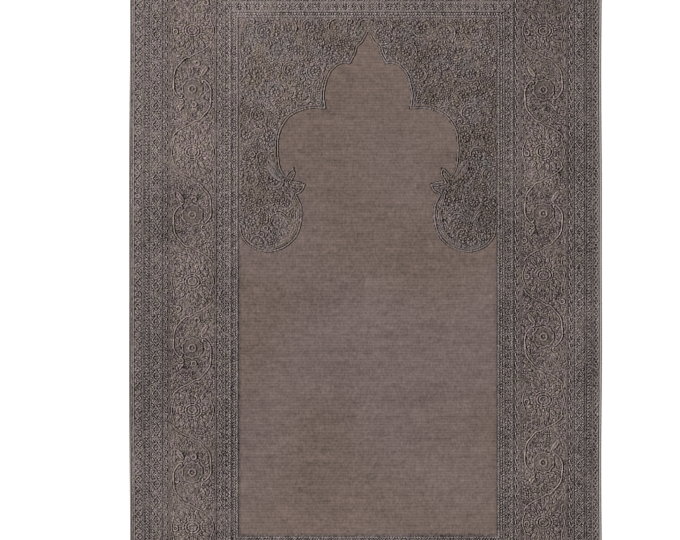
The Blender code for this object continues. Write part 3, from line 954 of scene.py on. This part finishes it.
def pile_piece(canvas, name, columns, rows):
    """One piece of the face, closed below at the pile's root."""
    piece, column, row = grid(name, len(columns) - 1, len(rows) - 1)
    column, row = columns[column], rows[row]
    x, y = settled(canvas.x[column], canvas.y[row])
    top = np.stack([x, y, canvas.z[row, column]], 1)
    move_to(piece.data, top)
    begin_edit(piece)
    bpy.ops.mesh.select_all(action="SELECT")
    bpy.ops.mesh.region_to_loop()
    bpy.ops.mesh.extrude_edges_move()
    bpy.ops.object.mode_set(mode="OBJECT")
    points = coordinates(piece.data)
    points[len(top):, 2] = ROOT_Z
    move_to(piece.data, points)
    begin_edit(piece)
    close_and_end_edit(SMOOTH_PILE)
    for carried, values in canvas.carried.items():
        spread = np.zeros(len(points))
        spread[:len(top)] = values[row, column]
        layer = piece.data.attributes.new(name=carried, type="FLOAT", domain="POINT")
        layer.data.foreach_set("value", spread.astype(np.float32))
    face_map(piece.data)
    return piece


def face_map(mesh):
    """Lay the face out flat as a map, with its walls and its back in a strip below it."""
    points = coordinates(mesh)
    low, high = points.min(0), points.max(0)
    layer = mesh.uv_layers.active or mesh.uv_layers.new(name="OFBake")
    layer.name = "OFBake"
    corner = np.empty(len(mesh.loops), np.int32)
    mesh.loops.foreach_get("vertex_index", corner)
    normal = np.empty(len(mesh.polygons) * 3, np.float32)
    mesh.polygons.foreach_get("normal", normal)
    size = np.empty(len(mesh.polygons), np.int32)
    mesh.polygons.foreach_get("loop_total", size)
    up = np.repeat(normal.reshape(-1, 3)[:, 2] > 0.05, size)
    flat = (points[corner, :2] - low[:2]) / (high[:2] - low[:2])
    height = (points[corner, 2] - low[2]) / (high[2] - low[2])
    u = np.where(up, flat[:, 0], (flat[:, 0] + height * 0.01) / 1.01)
    v = np.where(up, 0.05 + 0.95 * flat[:, 1], 0.035 * flat[:, 1] + 0.005 * height)
    layer.data.foreach_set("uv", np.stack([u, v], 1).astype(np.float32).ravel())


def picks(first, last, step=1):
    """Columns or rows of the face that a piece keeps, always with the last."""
    return np.unique(np.append(np.arange(first, last, step), last))


def pile_pieces(canvas):
    """Cut the face along the field's edges, across each long side's middle and below the bulbs."""
    left, right = (np.abs(canvas.x - PATTERN_X - side * FIELD_HALF_WIDTH).argmin() for side in (-1, 1))
    bottom, top = (np.abs(canvas.y - side * FIELD_HALF_LENGTH).argmin() for side in (-1, 1))
    middle = np.abs(canvas.y).argmin()
    foot = np.abs(canvas.y - ARCH_FOOT).argmin()
    last_x, last_y = len(canvas.x) - 1, len(canvas.y) - 1
    cuts = {
        "pile_left_low": (picks(0, left), picks(0, middle)),
        "pile_left_high": (picks(0, left), picks(middle, last_y)),
        "pile_right_low": (picks(right, last_x), picks(0, middle)),
        "pile_right_high": (picks(right, last_x), picks(middle, last_y)),
        "pile_bottom": (picks(left, right), picks(0, bottom)),
        "pile_top": (picks(left, right), picks(top, last_y)),
        "pile_niche": (picks(left, right, PLAIN_STEP), picks(bottom, foot, PLAIN_STEP)),
        "pile_arch": (picks(left, right), picks(foot, top)),
    }
    return [pile_piece(canvas, name, columns, rows) for name, (columns, rows) in cuts.items()]


def woven_ground():
    """The cloth that the pile stands in, which is also the rug's underside."""
    piece, column, row = grid("woven_ground", GROUND_COLUMNS, GROUND_ROWS)
    x, y = settled(HALF_CLOTH_WIDTH * (2 * column / GROUND_COLUMNS - 1),
                   HALF_CLOTH_LENGTH * (2 * row / GROUND_ROWS - 1))
    move_to(piece.data, np.stack([x, y, np.full(len(x), ROOT_Z)], 1))
    wall = piece.modifiers.new("thickness", "SOLIDIFY")
    wall.thickness = ROOT_Z
    wall.offset = -1.0
    bpy.ops.object.modifier_apply(modifier=wall.name)
    return piece


# ---- overlocked edges ----

def bead_ends(side):
    """Where a bead begins and ends: those of the short sides lie between the other two."""
    if side in ("left", "right"):
        reach = RUG_LENGTH / 2 - EDGING_WIDTH / 2
        return -reach, reach
    corner = -RUG_LENGTH / 2 if side == "bottom" else RUG_LENGTH / 2
    return (-RUG_WIDTH / 2 + INSET + edge_offset("left", corner),
            RUG_WIDTH / 2 - INSET - edge_offset("right", corner))


def squared(wave):
    """A wave with fuller crests."""
    return np.sign(wave) * np.abs(wave) ** BEAD_SQUARE


def overlock(side):
    """A bead of slanting stitches along one edge."""
    radius = EDGING_WIDTH / 2
    low, high = bead_ends(side)
    rings = round((high - low) / STITCH * STITCH_STEPS)
    piece, around, ring = grid("overlock_" + side, AROUND, rings)
    along = low + (high - low) * ring / rings
    turn = math.tau * around / AROUND
    stitch = np.abs(np.sin(np.pi * (along / STITCH + 0.5 * np.sin(turn) + 0.25)))
    ends = smooth((np.minimum(along - low, high - along) + 0.0006) / 0.0020)
    swell = (0.86 + 0.16 * stitch) * (0.35 + 0.65 * ends)
    wide = (radius + BEAD_PROUD) * squared(np.cos(turn)) * swell
    tall = BEAD_HEIGHT / 2 * squared(np.sin(turn)) * swell
    z = np.maximum(BEAD_HEIGHT / 2 + tall, 0.0)
    sign = 1 if side in ("right", "top") else -1
    long_side = side in ("left", "right")
    half = RUG_WIDTH / 2 if long_side else RUG_LENGTH / 2
    across = sign * (half - radius - edge_offset(side, along)) + wide
    move_to(piece.data, np.stack([across, along, z] if long_side else [along, across, z], 1))
    begin_edit(piece)
    bpy.ops.mesh.select_all(action="SELECT")
    bpy.ops.mesh.remove_doubles(threshold=0.00001)
    close_and_end_edit(SMOOTH_YARN)
    return piece


# ---- finishes ----

class Amount:
    """A number that changes over a surface. Sums and products of it add Math nodes."""

    def __init__(self, finish, socket):
        self.finish, self.socket = finish, socket

    def math(self, operation, other=0.0):
        return self.finish.node("ShaderNodeMath", {"operation": operation}, {0: self, 1: other})

    def __add__(self, other):
        return self.math("ADD", other)

    def __sub__(self, other):
        return self.math("SUBTRACT", other)

    def __rsub__(self, other):
        return self * -1.0 + other

    def __mul__(self, other):
        return self.math("MULTIPLY", other)

    __radd__, __rmul__ = __add__, __mul__

    def wave(self, length):
        """From 0 to 1 and back over each length."""
        return (self * (math.tau / length)).math("SINE") * 0.5 + 0.5

    def between(self, low, high):
        """0 up to low, 1 from high on, and smooth between them."""
        return self.finish.node("ShaderNodeMapRange", {"interpolation_type": "SMOOTHSTEP"},
                                {"Value": self, "From Min": low, "From Max": high}, "Result")

    def past(self, edge, soft):
        """0 before an edge and 1 past it."""
        return self.between(edge - soft, edge + soft)


class Finish:
    """A material whose nodes are added one by one."""

    def __init__(self, name, roughness, **constants):
        self.material = bpy.data.materials.new(name)
        self.material.use_nodes = True
        self.tree = self.material.node_tree
        self.shader = self.tree.nodes["Principled BSDF"]
        self.shader.inputs["Roughness"].default_value = roughness
        for socket, value in constants.items():
            self.shader.inputs[socket.replace("_", " ")].default_value = value

    def node(self, kind, settings, sockets, output=0):
        """Any node: its type, its settings, then the values or links of its sockets."""
        node = self.tree.nodes.new(kind)
        for setting, value in settings.items():
            setattr(node, setting, value)
        for socket, value in sockets.items():
            self.feed(node.inputs[socket], value)
        return Amount(self, node.outputs[output])

    def feed(self, socket, value):
        if isinstance(value, Amount):
            self.tree.links.new(value.socket, socket)
        else:
            socket.default_value = value

    def place(self):
        return self.node("ShaderNodeTexCoord", {}, {}, "Object")

    def axes(self):
        """How far across and along the rug a point lies."""
        split = self.node("ShaderNodeSeparateXYZ", {}, {"Vector": self.place()}).socket.node
        return Amount(self, split.outputs["X"]), Amount(self, split.outputs["Y"])

    def painted(self, name):
        """A value that the piece's own points carry."""
        return self.node("ShaderNodeAttribute", {"attribute_name": name}, {}, "Fac")

    def noise(self, scale, detail):
        """Soft noise from 0 to 1, as fine across, along and up as the scale's three numbers say."""
        place = self.node("ShaderNodeMapping", {}, {"Vector": self.place(), "Scale": scale})
        return self.node("ShaderNodeTexNoise", {}, {"Vector": place, "Scale": 1.0, "Detail": detail}, "Fac")

    def mix(self, amount, first, second, blend="MIX"):
        """One colour turning into another."""
        return self.node("ShaderNodeMix", {"data_type": "RGBA", "blend_type": blend},
                         {"Factor": amount, 6: first, 7: second}, 2)

    def colour(self, value):
        self.feed(self.shader.inputs["Base Color"], value)

    def bump(self, height, distance):
        self.feed(self.shader.inputs["Normal"],
                  self.node("ShaderNodeBump", {}, {"Height": height, "Distance": distance}))


PILE_NOISES = {
    # what it makes: scale across, along and up, and detail
    "grain": ((290.0, 230.0, 100.0), 1.0),
    "streak": ((360.0, 160.0, 100.0), 1.0),
    "fleck": ((520.0, 430.0, 100.0), 0.0),
    "weft": ((45.0, 300.0, 100.0), 3.0),
    "scuff": ((75.0, 75.0, 75.0), 3.0),
    "band": ((5.0, 60.0, 10.0), 2.0),
    "pale": ((26.0, 41.6, 26.0), 4.0),
    "tint": ((70.0, 70.0, 70.0), 2.0),
    "spot": ((24.0, 24.0, 24.0), 2.0),
    "blotch": ((8.0, 8.0, 8.0), 3.0),
    "broad": ((3.5, 3.5, 3.5), 1.0),
}
WEFT_PITCH = 0.0046         # from one ridge of the plain field to the next

BORDER_ROSE = (0.172, 0.131, 0.130, 1)
BORDER_SAND = (0.166, 0.133, 0.116, 1)
BAND_ROSE = (0.160, 0.131, 0.130, 1)
BAND_SAND = (0.160, 0.134, 0.124, 1)
PANEL_BROWN = (0.152, 0.117, 0.100, 1)
PANEL_SLATE = (0.150, 0.131, 0.128, 1)
FIELD_BROWN = (0.1555, 0.1120, 0.0960, 1)
FIELD_ROSE = (0.1520, 0.1112, 0.1045, 1)
FIELD_SUNNED = (0.156, 0.113, 0.092, 1)
YARN_DARK = (0.190, 0.168, 0.156, 1)
YARN_PALE = (0.340, 0.305, 0.285, 1)
# painted shade on the outer side of the beads
YARN_SHADE = (0.090, 0.078, 0.072, 1)
GROUND_DARK = (0.120, 0.100, 0.092, 1)
GROUND_PALE = (0.210, 0.180, 0.165, 1)
FLOOR_GREY = (0.88, 0.88, 0.88, 1)
FLOOR_WHITE = (0.92, 0.92, 0.92, 1)


class PilePlace:
    """Which part of the rug a point of the pile lies on, each from 0 to 1, and the noises there."""

    def __init__(self, finish):
        self.across, self.along = finish.axes()
        out = finish.node("ShaderNodeMath", {"operation": "MAXIMUM"}, {
            0: (self.across - PATTERN_X).math("ABSOLUTE") - FIELD_HALF_WIDTH,
            1: self.along.math("ABSOLUTE") - FIELD_HALF_LENGTH})
        inner = out.past(0.0, 0.001) - out.past(INNER_BANDS_END, 0.0005)
        outer = out.past(OUTER_BANDS_START, 0.0005)
        self.bands = inner + outer
        self.narrow = inner + outer * 0.5
        self.panel = 1 - out.between(-0.002, 0.000)
        self.main = 1 - self.narrow - self.panel
        self.left = 1 - self.across.between(-0.30, 0.30)
        self.carved = finish.painted("carved")
        self.plain = 1 - self.carved
        self.rows = self.along.wave(WEFT_PITCH)
        for name, (scale, detail) in PILE_NOISES.items():
            setattr(self, name, finish.noise(scale, detail))


def pile_grain(at):
    """Tufts everywhere, coarser in the carved pile, and weft, scuffs and bands in the plain field."""
    rough = (at.grain - 0.5) * (0.80 - at.carved * 0.30) + (at.streak - 0.5) * (at.carved * 0.55 + 0.15)
    rough = rough + (at.fleck - 0.5) * (at.carved * 0.95 + 0.25)
    plain = (at.weft - 0.5) * 0.52 + (at.scuff - 0.5) * 0.36 + (at.rows - 0.5) * 0.19
    plain = plain + (at.band - 0.5) * 0.30 + at.pale.between(0.62, 0.72) * 0.10
    return rough + plain * at.plain


def painted_falloff_and_tone(at):
    """Painted light falloff: paler to the left and to the top, as if lit from the upper left, with a painted
    highlight on a strip by the left edge; darker in the panel, and blotches of tone.
    """
    painted_light_drift = at.across * -0.14 - at.across.between(-0.05, 0.45) * 0.09
    # painted highlight on the carved pile along the left edge
    painted_light_drift = painted_light_drift + (1 - at.across.between(-0.3895, -0.3865)) * 0.10
    painted_light_drift = painted_light_drift + at.along.between(-0.10, 0.42) * (at.left * 0.18 + 0.08) - at.panel * 0.19
    painted_light_drift = painted_light_drift - at.narrow * 0.04 - at.main * (at.left * 0.065 + 0.035)
    field = (1 - at.along.between(-0.42, -0.28)) * 0.07 + (at.broad - 0.5) * 0.32
    return at.carved * painted_light_drift + at.plain * field + (at.blotch - 0.5) * (at.carved * 0.75 + 0.25)


def pile_dye(finish, at):
    """Rose and sand in the borders, brown and slate spots in the panel, and a warmer field."""
    tint = at.tint.between(0.35, 0.65)
    carved = finish.mix(tint, BORDER_ROSE, BORDER_SAND)
    carved = finish.mix(at.bands * 0.8, carved, finish.mix(tint, BAND_ROSE, BAND_SAND))
    brown = at.spot.between(0.48, 0.60) * at.panel * 0.85 + finish.painted("browned")
    carved = finish.mix(brown, carved, PANEL_BROWN)
    carved = finish.mix((1 - at.spot.between(0.36, 0.46)) * at.panel * 0.7, carved, PANEL_SLATE)
    field = finish.mix(at.broad.between(0.35, 0.65), FIELD_BROWN, FIELD_ROSE)
    field = finish.mix(at.along.between(0.12, 0.40) * 0.7, field, FIELD_SUNNED)
    return finish.mix(at.carved, field, carved)


def pile_finish():
    finish = Finish("pile", 0.92, Sheen_Weight=0.20, Sheen_Roughness=0.45, Specular_IOR_Level=0.15)
    at = PilePlace(finish)
    # painted shade and highlight from the relief, with more contrast in the narrow bands towards the left,
    # and a painted light falloff, all multiplied into the dye
    relief_shade = finish.painted("painted_relief_shade")
    shade_contrast = at.narrow * (0.30 + at.left * 0.30) + at.main * 0.20
    shade = 0.58 + relief_shade * 0.78 + (relief_shade - 0.5) * shade_contrast + pile_grain(at) + painted_falloff_and_tone(at)
    finish.colour(finish.mix(1.0, pile_dye(finish, at), shade, "MULTIPLY"))
    tufts = (at.grain * 0.7 + at.streak * 0.8) * (at.carved * 0.7 + 0.3)
    finish.bump(tufts + at.rows * 0.15 + at.weft * 0.4, 0.0011)
    return finish.material


def edging_finish():
    finish = Finish("edging_yarn", 0.88, Sheen_Weight=0.20, Sheen_Roughness=0.45, Specular_IOR_Level=0.2)
    twist = finish.noise((700.0, 700.0, 250.0), 2.0)
    blotch = finish.noise((30.0, 30.0, 30.0), 3.0)
    colour = finish.mix(twist * 0.7 + blotch * 0.3, YARN_DARK, YARN_PALE)
    across = finish.axes()[0]
    # painted shade along the outer side of the beads at the left and right edges
    rim_shade = across.math("ABSOLUTE").between(RUG_WIDTH / 2 - 0.0026, RUG_WIDTH / 2 - 0.0010)
    finish.colour(finish.mix(rim_shade * 0.6, colour, YARN_SHADE))
    finish.bump(twist, 0.0006)
    return finish.material


def ground_finish():
    finish = Finish("woven_ground", 0.93, Sheen_Weight=0.10, Sheen_Roughness=0.5, Specular_IOR_Level=0.15)
    across, along = finish.axes()
    ribs = along.wave(0.0030) * across.wave(0.0046)
    fibre = finish.noise((900.0, 900.0, 900.0), 2.0)
    finish.colour(finish.mix(ribs * 0.6 + fibre * 0.4, GROUND_DARK, GROUND_PALE))
    finish.bump(ribs + fibre * 0.3, 0.0008)
    return finish.material


def floor_finish():
    """Pale, and lit a little from within, so that shadows on it stay faint."""
    finish = Finish("pale_floor", 0.9, Specular_IOR_Level=0.1, Emission_Color=(1.0, 1.0, 1.0, 1.0),
                    Emission_Strength=0.80)
    finish.colour(finish.mix(finish.noise((1.5, 1.5, 1.5), 2.0), FLOOR_GREY, FLOOR_WHITE))
    return finish.material


def put_on(material, pieces):
    for piece in pieces:
        piece.data.materials.clear()
        piece.data.materials.append(material)


# ---- the studio ----

def floor():
    bpy.ops.object.select_all(action="DESELECT")
    bpy.ops.mesh.primitive_grid_add(x_subdivisions=FLOOR_STEPS, y_subdivisions=FLOOR_STEPS, size=FLOOR_SIZE)
    sheet = bpy.context.object
    sheet.name = "floor"
    put_on(floor_finish(), [sheet])


def light():
    """Even light from all round, and one soft light from the left."""
    world = bpy.data.worlds.new("studio")
    world.use_nodes = True
    background = world.node_tree.nodes["Background"]
    background.inputs["Color"].default_value = (1.0, 1.0, 1.0, 1.0)
    background.inputs["Strength"].default_value = ROOM_LIGHT
    bpy.context.scene.world = world
    bpy.ops.object.light_add(type="SUN", location=(-2.0, 0.5, 1.5))
    window = bpy.context.object
    window.name = "window_light"
    window.data.energy = WINDOW_LIGHT
    window.data.angle = math.radians(WINDOW_SPREAD)
    window.rotation_euler = Vector(WINDOW_FROM).to_track_quat("Z", "Y").to_euler()


def camera():
    """Straight above the rug, so that the face fills as much of the frame as in the photograph."""
    data = bpy.data.cameras.new("camera")
    data.lens = LENS
    data.clip_end = VIEW_DEPTH
    eye = bpy.data.objects.new("camera", data)
    distance = PIXEL * PHOTO_WIDTH / 2 * data.lens / (data.sensor_width / 2)
    eye.location = ((PHOTO_WIDTH / 2 - CENTRE_PIXEL_X) * PIXEL, (CENTRE_PIXEL_Y - PHOTO_HEIGHT / 2) * PIXEL,
                    distance + SCALE_Z)
    scene = bpy.context.scene
    scene.collection.objects.link(eye)
    scene.camera = eye
    scene.view_settings.view_transform = "Standard"


# ---- all together ----

pile = pile_pieces(draw_face())
ground = woven_ground()
edging = [overlock(side) for side in SIDES]
put_on(pile_finish(), pile)
put_on(ground_finish(), [ground])
put_on(edging_finish(), edging)
for piece in pile + [ground]:
    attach(piece, "root")
    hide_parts("rug")
for side, bead in zip(SIDES, edging):
    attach(bead, "root")
    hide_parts("edging_" + side)
floor()
light()
camera()
